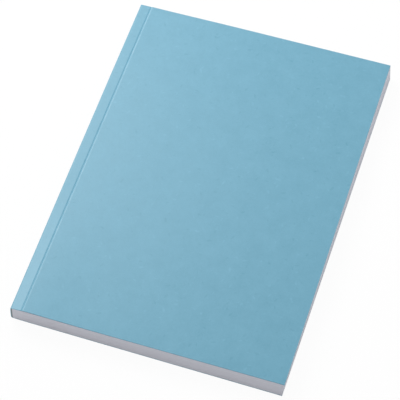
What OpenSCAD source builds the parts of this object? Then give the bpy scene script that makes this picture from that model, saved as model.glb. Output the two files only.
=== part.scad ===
// A softcover notebook, A5. A stack of blank leaves is glued along its spine
// edge inside one folded sheet of coloured card, then trimmed flush with the
// card on the other three sides. The card wraps the spine in two soft folds.
// A narrow strip of it is glued down beside the spine, front and back, and
// each cover swings from the scored crease where that strip ends.
//
// X runs from the spine to the fore edge, Y along the spine from the tail to
// the head, Z up. The origin is the middle of the back cover's outer face.

/* [Leaves] */
// Width of a trimmed leaf, from the glued edge to the fore edge
leaf_w = 147; // [90:0.5:220]
// Height of a trimmed leaf, from tail to head
leaf_h = 210; // [120:0.5:310]
// Thickness of one leaf
leaf_t = 0.107; // [0.07:0.001:0.2]
// Number of leaves in the block
leaf_count = 100; // [40:2:240]

/* [Cover card] */
// Thickness of the card
card_t = 0.4; // [0.3:0.05:0.8]
// Radius inside each of the two folds at the spine
fold_r = 0.2; // [0.1:0.05:0.6]

/* [Hinge crease] */
// Distance from the outside of the spine to the middle of the crease
crease_x = 6.4; // [4.5:0.1:14]
// Width of the scored groove
score_w = 1.6; // [0.6:0.1:2.4]
// Depth of the scored groove
score_d = 0.18; // [0.05:0.01:0.2]

/* [Glue] */
// Thickness of the glue between the leaves and the spine card
spine_glue_t = 0.6; // [0.4:0.05:1.2]
// Thickness of the side glue under the two glued strips
side_glue_t = 0.1; // [0.05:0.01:0.3]
// How far the side glue stops short of the crease
glue_margin = 0.6; // [0.3:0.1:1.5]

/* [Hidden] */
$fn = 64;

block_t = leaf_count * leaf_t;
wrap_t = card_t + side_glue_t;
book_t = block_t + 2 * wrap_t;
book_w = card_t + spine_glue_t + leaf_w;
block_x = card_t + spine_glue_t;
// Radius of the scoring rule's nose, from the groove's width and depth
score_r = (pow(score_w / 2, 2) + pow(score_d, 2)) / (2 * score_d);

card_blue = [0.51, 0.71, 0.80];
paper_white = [0.90, 0.89, 0.90];
glue_white = [0.93, 0.91, 0.85];

// Places a section, drawn as x across the spine and y up, along the spine
module along_spine(length) {
    translate([-book_w / 2, 0, 0])
        rotate([90, 0, 0])
            linear_extrude(height = length, center = true)
                children();
}

// The folded card's outline at a depth below its outer face, open to the right
module folded_outline(depth, reach) {
    r = fold_r + card_t - depth;
    h = book_t - 2 * depth;
    translate([depth, depth]) {
        translate([r, 0]) square([reach - depth - r, h]);
        translate([0, r]) square([reach - depth, h - 2 * r]);
        for (z = [r, h - r])
            translate([r, z]) circle(r = r);
    }
}

// The round groove that the scoring rule presses into the card's outer face
module score_groove() {
    translate([crease_x, score_r - score_d]) circle(r = score_r);
}

// One cover beyond its crease, lying with its outer face up at height zero
module cover_panel_section() {
    difference() {
        translate([crease_x, -card_t]) square([book_w - crease_x, card_t]);
        score_groove();
    }
}

// All the leaves, pressed and trimmed together
module page_block() {
    color(paper_white)
        along_spine(leaf_h)
            translate([block_x, wrap_t]) square([leaf_w, block_t]);
}

// Hot-melt glue, behind the leaves and a little way over the first and last
module binding_glue() {
    color(glue_white)
        along_spine(leaf_h)
            difference() {
                folded_outline(card_t, crease_x - glue_margin);
                translate([block_x, wrap_t]) square([leaf_w, block_t]);
            }
}

// The card round the spine, with a glued strip on each side up to the crease
module cover_spine() {
    color(card_blue)
        along_spine(leaf_h)
            difference() {
                folded_outline(0, crease_x);
                folded_outline(card_t, crease_x + card_t);
                translate([0, book_t]) score_groove();
                mirror([0, 1]) score_groove();
            }
}

// The front cover beyond its crease
module front_cover() {
    color(card_blue)
        along_spine(leaf_h)
            translate([0, book_t]) cover_panel_section();
}

// The back cover beyond its crease
module back_cover() {
    color(card_blue)
        along_spine(leaf_h)
            mirror([0, 1]) cover_panel_section();
}

page_block();
binding_glue();
cover_spine();
front_cover();
back_cover();
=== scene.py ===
import math
import random

import bmesh
import bpy
from mathutils import Matrix, Vector, noise


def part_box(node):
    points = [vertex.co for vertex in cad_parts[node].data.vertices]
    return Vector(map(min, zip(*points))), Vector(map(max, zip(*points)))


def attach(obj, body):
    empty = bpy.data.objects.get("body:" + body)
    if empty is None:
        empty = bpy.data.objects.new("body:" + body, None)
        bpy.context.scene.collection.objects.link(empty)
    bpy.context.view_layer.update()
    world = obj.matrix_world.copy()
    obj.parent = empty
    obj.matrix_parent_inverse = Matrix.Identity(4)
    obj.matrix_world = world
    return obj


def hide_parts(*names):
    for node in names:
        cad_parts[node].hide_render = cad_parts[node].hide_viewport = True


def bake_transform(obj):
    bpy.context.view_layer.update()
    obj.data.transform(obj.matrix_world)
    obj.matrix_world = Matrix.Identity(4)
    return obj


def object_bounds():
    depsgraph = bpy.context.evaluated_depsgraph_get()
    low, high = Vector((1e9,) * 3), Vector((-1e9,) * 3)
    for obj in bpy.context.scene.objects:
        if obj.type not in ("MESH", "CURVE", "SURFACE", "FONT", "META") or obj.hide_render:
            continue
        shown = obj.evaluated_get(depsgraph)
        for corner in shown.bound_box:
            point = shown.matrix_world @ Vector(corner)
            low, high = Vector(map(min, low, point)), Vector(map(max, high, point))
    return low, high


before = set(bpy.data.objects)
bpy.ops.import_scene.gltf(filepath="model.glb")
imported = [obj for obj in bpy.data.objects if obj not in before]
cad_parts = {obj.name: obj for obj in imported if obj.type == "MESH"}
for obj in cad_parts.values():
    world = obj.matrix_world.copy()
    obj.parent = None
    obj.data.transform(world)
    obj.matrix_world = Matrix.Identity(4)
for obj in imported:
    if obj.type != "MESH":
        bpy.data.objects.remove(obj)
cad_low, cad_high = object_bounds()


# The leaves. A hundred or so sheets of plain white uncoated paper, jogged square, glued
# along the spine edge and cut together with the cover on the other three sides. What
# shows is the cut ends of the sheets, and the top and bottom sheet when a cover opens.
leaf_count = 100
block_low, block_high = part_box("page_block")
leaf_pitch = (block_high.z - block_low.z) / leaf_count
seam_width = 0.012e-3
open_seam_width = 0.034e-3
open_seam_share = 0.09
seam_depth = 0.10e-3
leaf_step = 0.022e-3
leaf_step_length = 30e-3
leaf_step_change = 0.43
leaf_cuts_x = 36
leaf_cuts_y = 52
paper_white = (0.79, 0.80, 0.88, 1.0)
bundle_height = 1.1e-3
streak_size = (30e-3, 30e-3, 0.25e-3)
knife_mark_size = (0.5e-3, 0.5e-3, 25e-3)
# How far this copy, as it lies, is off a true, square book, and from where on
crease_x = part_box("front_cover")[0].x
skew = 0.0079
spine_bulge = 0.15e-3
spine_nip = 0.06e-3
tail_from = 25e-3
tail_nip = 0.60e-3
tail_rise = 0.40e-3
tail_rise_reach = 34e-3
tail_corner_from = 90e-3
tail_corner_bump = 0.25e-3
head_from = 60e-3
head_dip = 0.60e-3
head_dip_reach = 58e-3


def evenly(start, end, steps):
    """Places from start to end, both among them, in equal steps."""
    return [start + (end - start) * i / steps for i in range(steps + 1)]


def ramp(value, start, end):
    """0 up to start, 1 from end on, and straight between them."""
    return min(1.0, max(0.0, (value - start) / (end - start)))


def beside_crease(x, reach):
    """1 up to the crease, 0 from reach beyond it on, and a gentle fall between them."""
    share = ramp(x, crease_x, crease_x + reach)
    return 1 - share * share * (3 - 2 * share)


def as_it_lies(x, y, z):
    """Where a point of a true, square book is in this one. It lies a little skewed, the top
    turned against the bottom. Its spine bulges, and is nipped thinner than the leaves beyond
    it. Towards its tail it is swollen at the crease, and towards its head it dips there."""
    thickness = cad_high.z - cad_low.z
    up = (z - cad_low.z) / thickness
    into_spine = ramp(-x, -crease_x, -cad_low.x)
    to_tail = ramp(-y, tail_from, -cad_low.y)
    to_head = ramp(y, head_from, cad_high.y)
    to_tail_corner = into_spine ** 2 * ramp(-y, tail_corner_from, -cad_low.y)
    rise = tail_rise * to_tail * (1 - into_spine) * beside_crease(x, tail_rise_reach)
    nip = into_spine * (spine_nip + tail_nip * to_tail)
    nip += head_dip * to_head * beside_crease(x, head_dip_reach)
    x -= spine_bulge * into_spine * (1 - (2 * up - 1) ** 2)
    y += tail_corner_bump * to_tail_corner
    turn = skew * (up - 0.5)
    return (
        x * math.cos(turn) - y * math.sin(turn),
        x * math.sin(turn) + y * math.cos(turn),
        cad_low.z + up * (thickness + rise - nip),
    )


def piece_from(name, points, faces, materials, face_material=None, smooth=None, sheet=None):
    """Makes a piece from points and faces. face_material and smooth hold a value for each
    face, and sheet holds each point's place on the flat sheet."""
    mesh = bpy.data.meshes.new(name)
    mesh.from_pydata(points, [], faces)
    for material in materials:
        mesh.materials.append(material)
    if face_material:
        mesh.polygons.foreach_set("material_index", face_material)
    if smooth:
        mesh.polygons.foreach_set("use_smooth", smooth)
    if sheet:
        layer = mesh.uv_layers.new(name="sheet")
        for loop in mesh.loops:
            layer.data[loop.index].uv = sheet[loop.vertex_index]
    sharp_from = math.radians(30)
    creased = bmesh.new()
    creased.from_mesh(mesh)
    for edge in creased.edges:
        edge.smooth = edge.calc_face_angle(math.pi) < sharp_from
    creased.to_mesh(mesh)
    creased.free()
    mesh.validate()
    piece = bpy.data.objects.new(name, mesh)
    bpy.context.scene.collection.objects.link(piece)
    return piece


def feed(tree, node, inputs):
    """Sets a shader node's inputs. Each is a value, or the output that feeds it."""
    for key, value in inputs.items():
        if isinstance(value, bpy.types.NodeSocket):
            tree.links.new(value, node.inputs[key])
        else:
            node.inputs[key].default_value = value


def put_node(tree, kind, inputs=None, **settings):
    """Adds a shader node with its settings and inputs."""
    made = tree.nodes.new(kind)
    for key, value in settings.items():
        setattr(made, key, value)
    feed(tree, made, inputs or {})
    return made


def math_node(tree, operation, first, second=0.0):
    """Adds a Math node and gives its output."""
    inputs = {0: first, 1: second}
    return put_node(tree, "ShaderNodeMath", inputs, operation=operation).outputs[0]


def vector_node(tree, operation, first, second):
    """Adds a Vector Math node and gives its output. For SCALE, second is a number."""
    second_input = "Scale" if operation == "SCALE" else 1
    inputs = {0: first, second_input: second}
    return put_node(tree, "ShaderNodeVectorMath", inputs, operation=operation).outputs[0]


def noise_node(tree, place, scale, detail, roughness=0.5):
    """Adds a Noise Texture node and gives its grey output."""
    inputs = {"Vector": place, "Scale": scale, "Detail": detail, "Roughness": roughness}
    return put_node(tree, "ShaderNodeTexNoise", inputs).outputs["Fac"]


def bump_node(tree, height, strength, depth):
    """Adds a Bump node and gives its output."""
    inputs = {"Height": height, "Strength": strength, "Distance": depth}
    return put_node(tree, "ShaderNodeBump", inputs).outputs[0]


def swing(tree, value, middle, contrast):
    """How far a value is from its middle, times a contrast."""
    return math_node(tree, "MULTIPLY", math_node(tree, "SUBTRACT", value, middle), contrast)


def laid_noise(tree, place, turn, length, width, detail):
    """Noise drawn out into marks of a length and a width, laid at an angle on the sheet."""
    along = math_node(tree, "DIVIDE", 1.0, length)
    across = math_node(tree, "DIVIDE", 1.0, width)
    stretch = put_node(tree, "ShaderNodeCombineXYZ", {"X": along, "Y": across, "Z": across})
    laid = put_node(
        tree, "ShaderNodeVectorRotate", {"Vector": place, "Angle": turn}, rotation_type="Z_AXIS"
    )
    drawn_out = vector_node(tree, "MULTIPLY", laid.outputs[0], stretch.outputs[0])
    return noise_node(tree, drawn_out, 1.0, detail)


def start_group(name, inputs, outputs):
    """Starts a shader node group. Gives the group, its inputs' values and its output node."""
    group = bpy.data.node_groups.new(name, "ShaderNodeTree")
    for label, kind, value in inputs:
        socket = group.interface.new_socket(name=label, in_out="INPUT", socket_type=kind)
        socket.default_value = value
    for label, kind in outputs:
        group.interface.new_socket(name=label, in_out="OUTPUT", socket_type=kind)
    given = group.nodes.new("NodeGroupInput").outputs
    return group, given, group.nodes.new("NodeGroupOutput")


def use_group(tree, group, inputs):
    """Places a node group in a material with its own values, and gives its outputs."""
    return put_node(tree, "ShaderNodeGroup", inputs, node_tree=group).outputs


def uncoated_sheet_group():
    """Matted, curled fibres and the cloudy look of uncoated paper or card, in any colour."""
    group, given, put_out = start_group(
        "uncoated_sheet",
        [
            ("Vector", "NodeSocketVector", (0, 0, 0)),
            ("Color", "NodeSocketColor", (0.8, 0.8, 0.8, 1)),
            ("Fibre Length", "NodeSocketFloat", 1.2e-3),
            ("Fibre Width", "NodeSocketFloat", 0.08e-3),
            ("Fibre Contrast", "NodeSocketFloat", 0.1),
            ("Cloud Size", "NodeSocketFloat", 4e-3),
            ("Cloud Contrast", "NodeSocketFloat", 0.02),
            ("Stray Tone", "NodeSocketFloat", 0.0),
        ],
        [
            ("Color", "NodeSocketColor"),
            ("Height", "NodeSocketFloat"),
            ("Cloud", "NodeSocketFloat"),
        ],
    )
    fibre_turns = (0.35, 1.4, 2.5)
    curls_per_fibre = 1.5
    middle_fibre = 0.6
    undyed_grey = (0.3, 0.3, 0.3)
    cloud_scale = math_node(group, "DIVIDE", 1.0, given["Cloud Size"])
    cloud = noise_node(group, given["Vector"], cloud_scale, detail=5.0, roughness=0.8)
    curl_scale = math_node(group, "DIVIDE", curls_per_fibre, given["Fibre Length"])
    curl = put_node(
        group, "ShaderNodeTexNoise",
        {"Vector": given["Vector"], "Scale": curl_scale, "Detail": 1.0},
    ).outputs["Color"]
    bend = vector_node(group, "SUBTRACT", curl, (0.5, 0.5, 0.5))
    bend = vector_node(group, "SCALE", bend, given["Fibre Length"])
    curled = vector_node(group, "ADD", given["Vector"], bend)
    length, width = given["Fibre Length"], given["Fibre Width"]
    fibres = 0.0
    for turn in fibre_turns:
        layer = laid_noise(group, curled, turn, length, width, detail=1.0)
        fibres = math_node(group, "MAXIMUM", layer, fibres)
    fibre_tone = swing(group, fibres, middle_fibre, given["Fibre Contrast"])
    cloud_tone = swing(group, cloud, 0.5, given["Cloud Contrast"])
    uneven = math_node(group, "ADD", fibre_tone, cloud_tone)
    uneven = math_node(group, "ADD", uneven, given["Stray Tone"])
    dyed = vector_node(group, "SCALE", given["Color"], math_node(group, "ADD", uneven, 1.0))
    undyed = vector_node(group, "SCALE", undyed_grey, uneven)
    toned = vector_node(group, "ADD", dyed, undyed)
    feed(group, put_out, {"Color": toned, "Height": fibres, "Cloud": cloud})
    return group


uncoated_sheet = uncoated_sheet_group()


def start_material(name):
    """Starts a material with its Principled BSDF, and gives its tree and that shader."""
    material = bpy.data.materials.new(name)
    material.use_nodes = True
    return material, material.node_tree, material.node_tree.nodes["Principled BSDF"]


def leaf_face_material():
    """The face of a blank leaf: soft white, faintly clouded, with a slight tooth."""
    material, tree, shader = start_material("leaf_paper")
    paper = use_group(tree, uncoated_sheet, {
        "Vector": put_node(tree, "ShaderNodeTexCoord").outputs["Object"],
        "Color": paper_white,
        "Fibre Length": 0.9e-3, "Fibre Width": 0.06e-3, "Fibre Contrast": 0.06,
        "Cloud Size": 6e-3, "Cloud Contrast": 0.04,
    })
    feed(tree, shader, {
        "Base Color": paper["Color"],
        "Roughness": 0.75,
        "Normal": bump_node(tree, paper["Height"], strength=0.3, depth=0.01e-3),
    })
    return material


def trimmed_edge_material():
    """The cut ends of the leaves: each a slightly different white, with faint knife marks."""
    material, tree, shader = start_material("trimmed_leaf_edges")
    place = put_node(tree, "ShaderNodeTexCoord").outputs["Object"]
    height = put_node(tree, "ShaderNodeSeparateXYZ", {0: place}).outputs["Z"]
    leaf_number = math_node(tree, "SUBTRACT", height, block_low.z)
    leaf_number = math_node(tree, "FLOOR", math_node(tree, "DIVIDE", leaf_number, leaf_pitch))
    leaf_tone = put_node(
        tree, "ShaderNodeTexWhiteNoise", {"W": leaf_number}, noise_dimensions="1D"
    ).outputs["Value"]
    bundle_tone = put_node(
        tree, "ShaderNodeTexNoise",
        {"W": height, "Scale": 1 / bundle_height, "Detail": 2.0}, noise_dimensions="1D",
    ).outputs["Fac"]
    streaks = vector_node(tree, "MULTIPLY", place, tuple(1 / size for size in streak_size))
    streak_tone = noise_node(tree, streaks, 1.0, detail=3.0)
    knife = vector_node(tree, "MULTIPLY", place, tuple(1 / size for size in knife_mark_size))
    knife_tone = noise_node(tree, knife, 1.0, detail=2.0)
    contrasts = ((leaf_tone, 0.05), (bundle_tone, 0.04), (streak_tone, 0.07), (knife_tone, 0.04))
    tone = 1.0
    for part, contrast in contrasts:
        tone = math_node(tree, "ADD", swing(tree, part, 0.5, contrast), tone)
    feed(tree, shader, {
        "Base Color": vector_node(tree, "SCALE", paper_white[:3], tone),
        "Roughness": math_node(tree, "ADD", swing(tree, streak_tone, 0.5, 0.1), 0.8),
        "Normal": bump_node(tree, knife_tone, strength=0.25, depth=0.02e-3),
    })
    return material


def trimmed_outline(low, high):
    """The block's outline in cuts, with the way each point moves when its side is cut deeper."""
    outline = []
    for x in evenly(low.x, high.x, leaf_cuts_x)[:-1]:
        outline.append((x, low.y, 0, 1))
    for y in evenly(low.y, high.y, leaf_cuts_y)[:-1]:
        outline.append((high.x, y, -1, 1 if y == low.y else 0))
    for x in evenly(high.x, low.x, leaf_cuts_x)[:-1]:
        outline.append((x, high.y, -1 if x == high.x else 0, -1))
    for y in evenly(high.y, low.y, leaf_cuts_y)[:-1]:
        outline.append((low.x, y, 0, -1 if y == high.y else 0))
    return outline


def place_in_outline(i, j):
    """Which point of the block's outline a point on the rim of its top or bottom is."""
    if j == 0:
        return i
    if i == leaf_cuts_x:
        return leaf_cuts_x + j
    if j == leaf_cuts_y:
        return 2 * leaf_cuts_x + leaf_cuts_y - i
    return 2 * leaf_cuts_x + 2 * leaf_cuts_y - j


def leaf_block():
    """One closed solid for the leaves, with an open seam between each two at the cut sides."""
    draw = random.Random(11)
    outline = trimmed_outline(block_low, block_high)
    around = len(outline)
    levels = [(block_low.z, 0, 0.0)]
    for leaf in range(leaf_count - 1):
        seam_z = block_low.z + (leaf + 1) * leaf_pitch
        if draw.random() < open_seam_share:
            gape = open_seam_width
        else:
            gape = seam_width * draw.uniform(0.6, 1.4)
        depth = seam_depth * draw.uniform(0.6, 1.3)
        levels.append((seam_z - gape / 2, leaf, 0.0))
        levels.append((seam_z, leaf, depth))
        levels.append((seam_z + gape / 2, leaf + 1, 0.0))
    levels.append((block_high.z, leaf_count - 1, 0.0))
    points = []
    for z, leaf, depth in levels:
        for x, y, inward_x, inward_y in outline:
            spot = (x / leaf_step_length, y / leaf_step_length, leaf * leaf_step_change)
            step = leaf_step * (0.5 + 0.5 * noise.noise(Vector(spot))) + depth
            points.append((x + inward_x * step, y + inward_y * step, z))
    leaf_face, cut_side = 0, 1
    faces, kinds = [], []
    for level in range(len(levels) - 1):
        for i in range(around):
            a, b = level * around + i, level * around + (i + 1) % around
            faces.append((a, b, b + around, a + around))
            kinds.append(cut_side)
    top_level = (len(levels) - 1) * around
    for z, first, faces_up in ((block_low.z, 0, False), (block_high.z, top_level, True)):
        grid = {}
        for i, x in enumerate(evenly(block_low.x, block_high.x, leaf_cuts_x)):
            for j, y in enumerate(evenly(block_low.y, block_high.y, leaf_cuts_y)):
                if i in (0, leaf_cuts_x) or j in (0, leaf_cuts_y):
                    grid[i, j] = first + place_in_outline(i, j)
                else:
                    grid[i, j] = len(points)
                    points.append((x, y, z))
        for i in range(leaf_cuts_x):
            for j in range(leaf_cuts_y):
                face = (grid[i, j], grid[i + 1, j], grid[i + 1, j + 1], grid[i, j + 1])
                faces.append(face if faces_up else face[::-1])
                kinds.append(leaf_face)
    points = [as_it_lies(*point) for point in points]
    materials = [leaf_face_material(), trimmed_edge_material()]
    return piece_from("leaf_block", points, faces, materials, kinds)


leaves = leaf_block()
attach(leaves, "book_block")
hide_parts("page_block")


# The binding glue. Hot-melt run on behind the leaves and a little way over the first and
# last one, which holds the cover's spine and its two glued strips. It is trimmed with the
# book, and shows as a thin dark grey line beside the spine at the head and the tail. That
# grey is darker than the glue itself, and is partly painted shade of the spine's end.
glue_low, glue_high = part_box("binding_glue")
spine_low, spine_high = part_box("cover_spine")
card_t = glue_low.z - spine_low.z
book_mid_z = (spine_low.z + spine_high.z) / 2
inner_fold_r = 0.2e-3
fold_steps = 10
glue_up_steps = 6
glue_over_steps = 8
glue_rows = 60
glue_shrink = 0.10e-3
shrink_scale = 1500
shrink_row_change = 7.3
# Dark grey: partly the glue's own colour, partly painted shade at the spine's end
glue_and_shade_grey = (0.19, 0.185, 0.18, 1.0)
bubble_size = 0.35e-3
glue_cloud_size = 1.5e-3


def fold_arc(radius):
    """Points of a quarter turn from straight up the spine to flat over the leaves."""
    centre_x = spine_low.x + card_t + inner_fold_r
    centre_z = spine_high.z - card_t - inner_fold_r
    arc = []
    for turn in evenly(math.pi, math.pi / 2, fold_steps):
        arc.append((centre_x + radius * math.cos(turn), centre_z + radius * math.sin(turn)))
    return arc


def lengthwise_skin(rows, pairs, upside_down):
    """Faces of a closed skin over rows of point pairs, and the kind of each: 0 outside, 1
    inside and 2 cut."""
    faces, kinds = [], []

    def corner(row, pair, side):
        return (row * pairs + pair) * 2 + side

    for row in range(rows - 1):
        for pair in range(pairs - 1):
            for side in (0, 1):
                ring = [corner(row, pair, side), corner(row, pair + 1, side),
                        corner(row + 1, pair + 1, side), corner(row + 1, pair, side)]
                faces.append(ring[::-1] if side else ring)
                kinds.append(side)
        for pair, outward in ((0, False), (pairs - 1, True)):
            ring = [corner(row, pair, 0), corner(row, pair, 1),
                    corner(row + 1, pair, 1), corner(row + 1, pair, 0)]
            faces.append(ring if outward else ring[::-1])
            kinds.append(2)
    for row, outward in ((0, True), (rows - 1, False)):
        for pair in range(pairs - 1):
            ring = [corner(row, pair, 0), corner(row, pair, 1),
                    corner(row, pair + 1, 1), corner(row, pair + 1, 0)]
            faces.append(ring if outward else ring[::-1])
            kinds.append(2)
    if upside_down:
        faces = [face[::-1] for face in faces]
    return faces, kinds


def hot_melt_material():
    """Hot-melt glue, waxy, cloudy and full of fine bubbles where the knife went, in a dark
    grey that is partly painted shade.
    """
    material, tree, shader = start_material("hot_melt_glue")
    place = put_node(tree, "ShaderNodeTexCoord").outputs["Object"]
    bubbles = put_node(
        tree, "ShaderNodeTexVoronoi", {"Vector": place, "Scale": 1 / bubble_size}
    ).outputs["Distance"]
    clouds = noise_node(tree, place, 1 / glue_cloud_size, detail=3.0)
    tone = math_node(tree, "ADD", swing(tree, clouds, 0.5, 0.16), 1.0)
    feed(tree, shader, {
        "Base Color": vector_node(tree, "SCALE", glue_and_shade_grey[:3], tone),
        "Roughness": math_node(tree, "ADD", swing(tree, clouds, 0.5, 0.2), 0.45),
        "Normal": bump_node(tree, bubbles, strength=0.5, depth=0.03e-3),
    })
    return material


def glue_section():
    """The glue's section from the middle of the spine over the top leaf, as point pairs."""
    arc = fold_arc(inner_fold_r)
    arc_end_x, arc_start_z = arc[-1][0], arc[0][1]
    pairs = []
    for z in evenly(book_mid_z, arc_start_z, glue_up_steps)[:-1]:
        pairs.append(((glue_low.x, z), (block_low.x, z)))
    for point, z in zip(arc, evenly(arc_start_z, block_high.z, len(arc))):
        pairs.append((point, (block_low.x, z)))
    outer_xs = evenly(arc_end_x, glue_high.x, glue_over_steps + 1)[1:]
    inner_xs = evenly(block_low.x, glue_high.x, glue_over_steps)
    for outer_x, inner_x in zip(outer_xs, inner_xs):
        pairs.append(((outer_x, glue_high.z), (inner_x, block_high.z)))
    return pairs


def binding_glue():
    """The glue round the spine edge of the leaves, shrunk back a little at its two ends."""
    upper = glue_section()
    lower = [tuple((x, 2 * book_mid_z - z) for x, z in pair) for pair in upper[:0:-1]]
    section = lower + upper
    points = []
    for row, y in enumerate(evenly(glue_low.y, glue_high.y, glue_rows)):
        for pair in section:
            for x, z in pair:
                shrunk_y = y
                if row in (0, glue_rows):
                    spot = (x * shrink_scale, z * shrink_scale, row * shrink_row_change)
                    uneven = 0.8 + 0.5 * noise.noise(Vector(spot))
                    shrunk_y -= math.copysign(glue_shrink * uneven, y)
                points.append(as_it_lies(x, shrunk_y, z))
    faces, _ = lengthwise_skin(glue_rows + 1, len(section), False)
    smooth = [True] * len(faces)
    return piece_from("binding_glue_line", points, faces, [hot_melt_material()], smooth=smooth)


glue = binding_glue()
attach(glue, "book_block")
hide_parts("binding_glue")


# The cover. One sheet of light blue through-dyed card, about 280 g/m2, folded twice round
# the spine and scored twice. A strip beside the spine is glued down, and the rest of each
# cover lies loose on the leaves and bends at its scored crease.
fore_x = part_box("front_cover")[1].x
top_z = spine_high.z
head_y = spine_high.y
outer_fold_r = inner_fold_r + card_t
groove_x = crease_x - 0.10e-3
score_w = 1.2e-3
score_d = 0.135e-3
score_back_d = 0.05e-3
# The loose card springs up to a ridge beyond the groove, and cockles where nothing holds it
ridge_x = groove_x + 0.86e-3
ridge_w = 1.2e-3
spring = 0.20e-3
spring_reach = 50e-3
cockle = 0.03e-3
pressed_cockle = 0.01e-3
cockle_size = 35e-3
cockle_crease_margin = 20e-3
cockle_edge_margin = 4e-3
cockle_back_seed = 40.0
cut_round = 0.05e-3
cut_steps = (8, 2, 1, 0)
spine_steps = 8
strip_steps = 8
groove_steps = 32
ridge_steps = 8
panel_steps = 76
row_steps = 84
card_blue = (0.1360, 0.3745, 0.508, 1.0)
fleck_contrast = 0.04
# Paler blue: wear where handling rubs the cover's edges and fold, and a painted highlight on the
# slope up from the groove to its ridge, which faces the lamp
worn_and_highlight_blue = (0.50, 0.68, 0.76, 1.0)
rub_strength = 0.15
# How strong the painted highlight along the crease's lamp-facing slope is
ridge_highlight_strength = 0.26
ridge_highlight_x = groove_x + 0.8 * (ridge_x - groove_x)


def wear_and_highlight_band_group():
    """A band along a line, strongest at it and broken up along it: where handling rubs a sheet, and
    where a painted highlight lies along the crease.
    """
    group, given, put_out = start_group(
        "wear_and_highlight_band",
        [
            ("Vector", "NodeSocketVector", (0, 0, 0)),
            ("Distance", "NodeSocketFloat", 0.0),
            ("Reach", "NodeSocketFloat", 0.4e-3),
            ("Patch Size", "NodeSocketFloat", 2e-3),
        ],
        [("Mask", "NodeSocketFloat")],
    )
    bare_up_to, whole_from = 0.35, 0.7
    near = math_node(group, "DIVIDE", given["Distance"], given["Reach"])
    near = math_node(group, "SUBTRACT", 1.0, near)
    near = put_node(group, "ShaderNodeClamp", {"Value": near}).outputs[0]
    patch_scale = math_node(group, "DIVIDE", 1.0, given["Patch Size"])
    patches = noise_node(group, given["Vector"], patch_scale, detail=4.0)
    broken = put_node(
        group, "ShaderNodeMapRange",
        {"Value": patches, "From Min": bare_up_to, "From Max": whole_from},
    ).outputs[0]
    feed(group, put_out, {"Mask": math_node(group, "MULTIPLY", near, broken)})
    return group


wear_and_highlight_band = wear_and_highlight_band_group()


def flecks_group():
    """Stray fibres in a recycled sheet: short flecks, 1 where paler and -1 where darker."""
    group, given, put_out = start_group(
        "flecks",
        [
            ("Vector", "NodeSocketVector", (0, 0, 0)),
            ("Length", "NodeSocketFloat", 4.5e-3),
            ("Width", "NodeSocketFloat", 1.9e-3),
            ("Rareness", "NodeSocketFloat", 0.275),
        ],
        [("Tone", "NodeSocketFloat")],
    )
    fleck_turns = (0.2, 1.1, 2.0, 2.8)
    sharpness = 14.0
    place, length, width = given["Vector"], given["Length"], given["Width"]
    tone = 0.0
    for turn in fleck_turns:
        spread = laid_noise(group, place, turn, length, width, detail=0.0)
        off = math_node(group, "SUBTRACT", spread, 0.5)
        beyond = swing(group, math_node(group, "ABSOLUTE", off), given["Rareness"], sharpness)
        mark = put_node(group, "ShaderNodeClamp", {"Value": beyond}).outputs[0]
        mark = math_node(group, "MULTIPLY", mark, math_node(group, "SIGN", off))
        tone = math_node(group, "ADD", mark, tone)
    feed(group, put_out, {"Tone": tone})
    return group


flecks = flecks_group()


def card_path():
    """The card's section from the middle of the spine to the fore edge, as pairs of an outer
    and an inner point, and how far along the flat sheet each pair is."""
    outer_arc, inner_arc = fold_arc(outer_fold_r), fold_arc(inner_fold_r)
    path = []
    for z in evenly(book_mid_z, outer_arc[0][1], spine_steps)[:-1]:
        path.append(((spine_low.x, z), (spine_low.x + card_t, z)))
    path += list(zip(outer_arc, inner_arc))
    groove_from, groove_to = groove_x - score_w / 2, groove_x + score_w / 2
    flat_xs = evenly(outer_arc[-1][0], groove_from, strip_steps)[1:-1]
    flat_xs += evenly(groove_from, groove_to, groove_steps)
    flat_xs += evenly(groove_to, groove_to + ridge_w, ridge_steps)[1:]
    flat_xs += evenly(groove_to + ridge_w, fore_x, panel_steps)[1:-1]
    flat_xs += [fore_x - cut_round * step for step in cut_steps]
    for x in flat_xs:
        path.append(((x, top_z), (x, top_z - card_t)))
    lengths = [0.0]
    for before, after in zip(path, path[1:]):
        middle_before = Vector(before[0]).lerp(Vector(before[1]), 0.5)
        middle_after = Vector(after[0]).lerp(Vector(after[1]), 0.5)
        lengths.append(lengths[-1] + (middle_after - middle_before).length)
    return path, lengths


def groove_share(x):
    """How deep the scored groove is at x, from 0 beside it to 1 in its middle."""
    off = abs(x - groove_x) / (score_w / 2)
    return math.cos(off * math.pi / 2) ** 2 if off < 1 else 0.0


def spring_share(x):
    """How far the scored card springs up from the leaves at x: the most at the ridge."""
    return ramp(x, groove_x, ridge_x) * (1 - ramp(x, ridge_x, groove_x + spring_reach))


def loose_share(x, y):
    """How free the cover is to cockle there: not at the crease, the most in the middle."""
    off_crease = ramp(x, crease_x, crease_x + cockle_crease_margin)
    off_fore_edge = ramp(fore_x - x, 0, cockle_edge_margin)
    off_end = ramp(head_y - abs(y), 0, cockle_edge_margin)
    return off_crease * off_fore_edge * off_end


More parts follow.
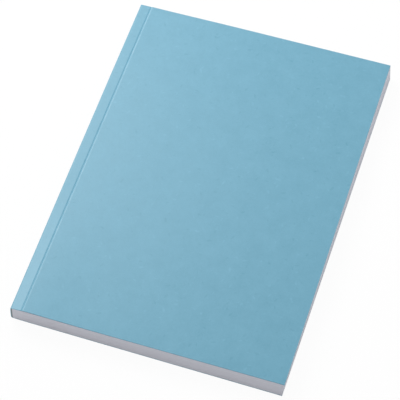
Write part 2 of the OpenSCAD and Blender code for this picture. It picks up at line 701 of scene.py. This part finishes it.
def paler_by_wear_and_highlight(tree, sheet, colour, lines):
    """The card's colour made paler: worn along its edges and its fold, and a painted highlight
    on the slope up to the ridge at its crease, which faces the lamp. lines says how far along
    the flat sheet these are."""
    along = put_node(tree, "ShaderNodeSeparateXYZ", {0: sheet}).outputs
    to_fore = math_node(tree, "SUBTRACT", lines["fore"], along["X"])
    to_end = math_node(tree, "SUBTRACT", head_y, math_node(tree, "ABSOLUTE", along["Y"]))
    off_fold = math_node(tree, "SUBTRACT", along["X"], lines["fold"])
    off_fold = math_node(tree, "ABSOLUTE", off_fold)
    off_ridge = math_node(tree, "SUBTRACT", along["X"], lines["ridge"])
    off_ridge = math_node(tree, "ABSOLUTE", off_ridge)
    nearest = math_node(tree, "MINIMUM", math_node(tree, "MINIMUM", to_fore, to_end), off_fold)
    rubbed = use_group(tree, wear_and_highlight_band, {
        "Vector": sheet, "Distance": nearest, "Reach": 0.45e-3, "Patch Size": 1.6e-3,
    })["Mask"]
    # Painted highlight on the crease's slope that faces the lamp
    highlight_band_at_ridge = use_group(tree, wear_and_highlight_band, {
        "Vector": sheet, "Distance": off_ridge, "Reach": 0.5e-3, "Patch Size": 5e-3,
    })["Mask"]
    paler = math_node(tree, "MULTIPLY", rubbed, rub_strength)
    ridge_highlight_share = math_node(tree, "MULTIPLY", highlight_band_at_ridge, ridge_highlight_strength)
    paler = math_node(tree, "MAXIMUM", paler, ridge_highlight_share)
    # 6, 7 and 2 are the Mix node's two colours and its colour output
    mixed = put_node(
        tree, "ShaderNodeMix", {0: paler, 6: colour, 7: worn_and_highlight_blue}, data_type="RGBA"
    )
    return mixed.outputs[2]


def card_material(name, lines, tone, roughness):
    """Through-dyed uncoated card. lines says where it is made paler, worn at its edges and fold
    and with a painted highlight at its crease, or is None where it isn't.
    """
    material, tree, shader = start_material(name)
    sheet = put_node(tree, "ShaderNodeUVMap", uv_map="sheet").outputs[0]
    stray = use_group(tree, flecks, {"Vector": sheet})["Tone"]
    card = use_group(tree, uncoated_sheet, {
        "Vector": sheet,
        "Color": tuple(tone * channel for channel in card_blue[:3]) + (1.0,),
        "Fibre Length": 1.3e-3, "Fibre Width": 0.09e-3, "Fibre Contrast": 0.26,
        "Cloud Size": 11e-3, "Cloud Contrast": 0.15,
        "Stray Tone": math_node(tree, "MULTIPLY", stray, fleck_contrast),
    })
    colour = paler_by_wear_and_highlight(tree, sheet, card["Color"], lines) if lines else card["Color"]
    feed(tree, shader, {
        "Base Color": colour,
        "Roughness": math_node(tree, "ADD", swing(tree, card["Cloud"], 0.5, 0.12), roughness),
        "Normal": bump_node(tree, card["Height"], strength=0.35, depth=0.014e-3),
    })
    return material


card_sections, card_lengths = card_path()
wear_and_highlight_lines = {
    "fore": card_lengths[-1],
    "fold": card_lengths[spine_steps + fold_steps // 2],
    # Where the painted highlight of the crease lies
    "ridge": card_lengths[-1] - (fore_x - ridge_highlight_x),
}
card_outside = card_material("blue_card", wear_and_highlight_lines, 1.0, 0.35)
card_inside = card_material("blue_card_inside", None, 1.0, 0.6)
# The cut edges are the same card 7 % darker: painted shade along them
card_cut = card_material("blue_card_cut", None, 0.93, 0.8)


def half_cover(name, upside_down):
    """Half the cover, from the middle of the spine round its fold to the fore edge."""
    rows_y = [-head_y + cut_round * step for step in reversed(cut_steps)]
    rows_y += evenly(-head_y, head_y, row_steps)[1:-1]
    rows_y += [head_y - cut_round * step for step in cut_steps]
    last_row, last_pair = len(rows_y) - 1, len(card_sections) - 1
    seed = cockle_back_seed if upside_down else 0.0
    points, sheet = [], []
    for row, y in enumerate(rows_y):
        for pair, ((x_out, z_out), (x_in, z_in)) in enumerate(card_sections):
            spot = Vector((x_out / cockle_size, y / cockle_size, seed))
            lie = noise.noise(spot) * loose_share(x_out, y)
            lie *= pressed_cockle if upside_down else cockle
            if not upside_down:
                lie += spring * spring_share(x_out)
            on_the_flat = pair >= spine_steps + fold_steps
            press = groove_share(x_out) if on_the_flat else 0.0
            at_cut = row in (0, last_row) or pair == last_pair
            outward = Vector((x_out - x_in, z_out - z_in)).normalized()
            rounded = outward * (cut_round / 2 if at_cut else 0.0)
            out_point = Vector((x_out, z_out + lie - score_d * press)) - rounded
            in_point = Vector((x_in, z_in + lie - score_back_d * press)) + rounded
            for x, z in (out_point, in_point):
                points.append(as_it_lies(x, y, 2 * book_mid_z - z if upside_down else z))
                sheet.append((card_lengths[pair], y))
    faces, kinds = lengthwise_skin(len(rows_y), len(card_sections), upside_down)
    smooth = [kind < 2 for kind in kinds]
    materials = [card_outside, card_inside, card_cut]
    return piece_from(name, points, faces, materials, kinds, smooth, sheet)


for side, upside_down in (("front", False), ("back", True)):
    half = half_cover(side + "_half_cover", upside_down)
    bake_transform(half)
    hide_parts(side + "_cover", "cover_spine")


# The floor. A plain white tabletop. The camera looks through most of it to the white
# surround, so that it stays white, and still sees the notebook's shadow on it.
floor_half = 1.5
floor_z = cad_low.z + 0.02e-3
floor_white = (0.83, 0.83, 0.83, 1.0)
shadow_share = 0.055
shadow_reach = 0.32
shadow_fade_from = 0.45 * shadow_reach


def looked_at(tree):
    """1 where the camera looks, also by way of gloss or glass, and 0 where light spreads."""
    ray = put_node(tree, "ShaderNodeLightPath").outputs
    by_way = math_node(tree, "MAXIMUM", ray["Is Glossy Ray"], ray["Is Transmission Ray"])
    return math_node(tree, "MAXIMUM", ray["Is Camera Ray"], by_way)


def floor_material():
    """White to light, mostly clear to the camera near the notebook and clear beyond it."""
    material = bpy.data.materials.new("white_tabletop")
    material.use_nodes = True
    tree = material.node_tree
    tree.nodes.clear()
    place = put_node(tree, "ShaderNodeTexCoord").outputs["Object"]
    away = put_node(tree, "ShaderNodeVectorMath", {0: place}, operation="LENGTH").outputs["Value"]
    shadow = put_node(
        tree, "ShaderNodeMapRange",
        {
            "Value": away, "From Min": shadow_fade_from, "From Max": shadow_reach,
            "To Min": shadow_share, "To Max": 0.0,
        },
        interpolation_type="SMOOTHSTEP",
    ).outputs[0]
    clear = put_node(tree, "ShaderNodeBsdfTransparent").outputs[0]
    shaded = put_node(tree, "ShaderNodeBsdfDiffuse", {"Color": (1, 1, 1, 1)}).outputs[0]
    white = put_node(tree, "ShaderNodeBsdfDiffuse", {"Color": floor_white}).outputs[0]
    faint = put_node(tree, "ShaderNodeMixShader", {0: shadow, 1: clear, 2: shaded}).outputs[0]
    top = put_node(tree, "ShaderNodeMixShader", {0: looked_at(tree), 1: white, 2: faint}).outputs[0]
    behind = put_node(tree, "ShaderNodeNewGeometry").outputs["Backfacing"]
    one_sided = put_node(tree, "ShaderNodeMixShader", {0: behind, 1: top, 2: clear}).outputs[0]
    put_node(tree, "ShaderNodeOutputMaterial", {"Surface": one_sided})
    return material


floor_corners = [(-floor_half, -floor_half, floor_z), (floor_half, -floor_half, floor_z),
                 (floor_half, floor_half, floor_z), (-floor_half, floor_half, floor_z)]
floor = piece_from("tabletop", floor_corners, [(0, 1, 2, 3)], [floor_material()])


# The light. One large soft lamp behind the notebook on the spine side, a weaker one behind
# its head, and a white surround that also is the white background.
lamp_azimuth = math.radians(-50.6)
lamp_elevation = math.radians(45)
lamp_distance = 1.0
lamp_size = 0.63
lamp_power = 6.9
fill_azimuth = math.radians(13.7)
fill_elevation = math.radians(45.3)
fill_distance = 1.38
fill_size = 1.0
fill_power = 2.4
surround_light = 0.46
background_white = 1.0


def soft_lamp(name, azimuth, elevation, distance, size, power):
    """A square soft lamp that faces the notebook. Azimuth 0 is behind its head."""
    lamp_data = bpy.data.lights.new(name, "AREA")
    lamp_data.shape = "SQUARE"
    lamp_data.size = size
    lamp_data.energy = power
    lamp = bpy.data.objects.new(name, lamp_data)
    way = Vector((
        math.sin(azimuth) * math.cos(elevation),
        math.cos(azimuth) * math.cos(elevation),
        math.sin(elevation),
    ))
    lamp.location = way * distance
    lamp.rotation_euler = way.to_track_quat("Z", "Y").to_euler()
    lamp.visible_camera = False
    bpy.context.scene.collection.objects.link(lamp)


soft_lamp("soft_lamp", lamp_azimuth, lamp_elevation, lamp_distance, lamp_size, lamp_power)
soft_lamp("fill_lamp", fill_azimuth, fill_elevation, fill_distance, fill_size, fill_power)

surround = bpy.data.worlds.new("white_surround")
surround.use_nodes = True
sky = surround.node_tree
sky.nodes.clear()
white = (1, 1, 1, 1)
sky_light = put_node(sky, "ShaderNodeBackground", {"Color": white, "Strength": surround_light})
sky_white = put_node(sky, "ShaderNodeBackground", {"Color": white, "Strength": background_white})
sky_mix = put_node(sky, "ShaderNodeMixShader", {
    0: looked_at(sky), 1: sky_light.outputs[0], 2: sky_white.outputs[0],
})
put_node(sky, "ShaderNodeOutputWorld", {"Surface": sky_mix.outputs[0]})
bpy.context.scene.world = surround


# The camera. It looks down on the notebook from the tail, a little from the fore edge
# side, as in the photograph. It is level but for a small roll.
camera_azimuth = math.radians(18.98)
camera_elevation = math.radians(57.35)
camera_roll = math.radians(-1.09)
camera_distance = 1.013
camera_lens = 167.8
aim_from_spine = 71.08e-3
aim_below_middle = 5.33e-3

back = Vector((
    math.sin(camera_azimuth) * math.cos(camera_elevation),
    -math.cos(camera_azimuth) * math.cos(camera_elevation),
    math.sin(camera_elevation),
))
level_right = (-back).cross(Vector((0, 0, 1))).normalized()
level_up = level_right.cross(-back)
right = level_right * math.cos(camera_roll) + level_up * math.sin(camera_roll)
up = level_up * math.cos(camera_roll) - level_right * math.sin(camera_roll)
camera_data = bpy.data.cameras.new("camera")
camera_data.lens = camera_lens
camera_data.sensor_width = 36.0
camera_data.clip_start = 0.05
camera_data.clip_end = 20.0
camera = bpy.data.objects.new("camera", camera_data)
aim = Vector((cad_low.x + aim_from_spine, -aim_below_middle, cad_low.z))
turned = Matrix((right, up, back)).transposed().to_4x4()
camera.matrix_world = Matrix.Translation(aim + back * camera_distance) @ turned
bpy.context.scene.collection.objects.link(camera)
bpy.context.scene.camera = camera
bpy.context.scene.view_settings.view_transform = "Standard"
